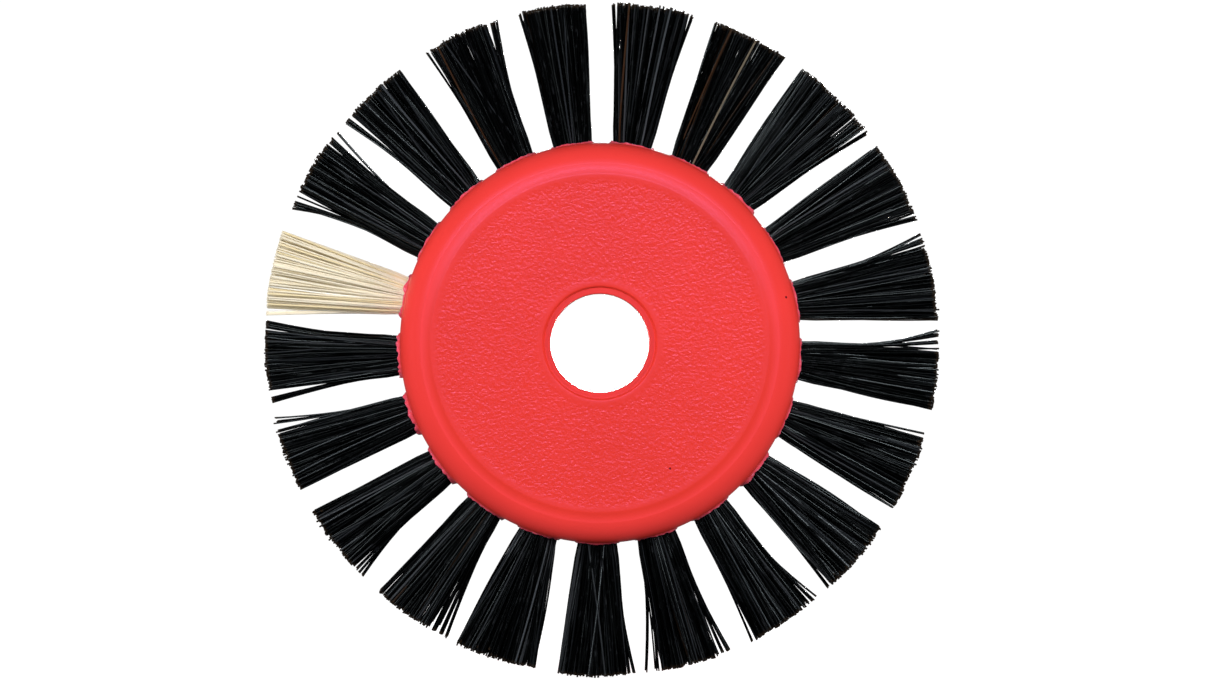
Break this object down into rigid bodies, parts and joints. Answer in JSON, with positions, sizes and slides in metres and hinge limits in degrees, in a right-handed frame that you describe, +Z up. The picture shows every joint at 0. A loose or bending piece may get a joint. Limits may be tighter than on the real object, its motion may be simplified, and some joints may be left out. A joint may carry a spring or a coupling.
{
  "type": "rotary brush wheel",
  "caption": "Rotary bristle brush wheel: a plastic hub with a plain through bore and one row of stapled natural-bristle tufts round its rim, one of them white.",
  "frame": {"origin": "centre of the bore, midway between the hub's two faces", "axes": "+Y along the wheel's axis, towards the back face; the front face looks towards -Y; +Z is up, and the white tuft is 13.6 degrees above -X"},
  "size_m": [0.11, 0.016, 0.11],
  "materials": {
    "red_plastic": "moulded, finely grained faces, satin rounded rim",
    "black_bristle": "stiff natural bristle, satin",
    "white_bristle": "bleached natural bristle, ivory with yellow streaks",
    "anchor_wire": "flattened wire, dull"
  },
  "bodies": {
    "root": {"hub": "red_plastic", "black_tuft_01": "black_bristle", "black_tuft_02": "black_bristle", "black_tuft_03": "black_bristle", "black_tuft_04": "black_bristle", "black_tuft_05": "black_bristle", "black_tuft_06": "black_bristle", "black_tuft_07": "black_bristle", "black_tuft_08": "black_bristle", "black_tuft_09": "black_bristle", "white_tuft_10": "white_bristle", "black_tuft_11": "black_bristle", "black_tuft_12": "black_bristle", "black_tuft_13": "black_bristle", "black_tuft_14": "black_bristle", "black_tuft_15": "black_bristle", "black_tuft_16": "black_bristle", "black_tuft_17": "black_bristle", "black_tuft_18": "black_bristle", "black_tuft_19": "black_bristle", "black_tuft_20": "black_bristle", "black_tuft_21": "black_bristle", "tuft_anchor_01": "anchor_wire", "tuft_anchor_02": "anchor_wire", "tuft_anchor_03": "anchor_wire", "tuft_anchor_04": "anchor_wire", "tuft_anchor_05": "anchor_wire", "tuft_anchor_06": "anchor_wire", "tuft_anchor_07": "anchor_wire", "tuft_anchor_08": "anchor_wire", "tuft_anchor_09": "anchor_wire", "tuft_anchor_10": "anchor_wire", "tuft_anchor_11": "anchor_wire", "tuft_anchor_12": "anchor_wire", "tuft_anchor_13": "anchor_wire", "tuft_anchor_14": "anchor_wire", "tuft_anchor_15": "anchor_wire", "tuft_anchor_16": "anchor_wire", "tuft_anchor_17": "anchor_wire", "tuft_anchor_18": "anchor_wire", "tuft_anchor_19": "anchor_wire", "tuft_anchor_20": "anchor_wire", "tuft_anchor_21": "anchor_wire"}
  },
  "joints": []
}
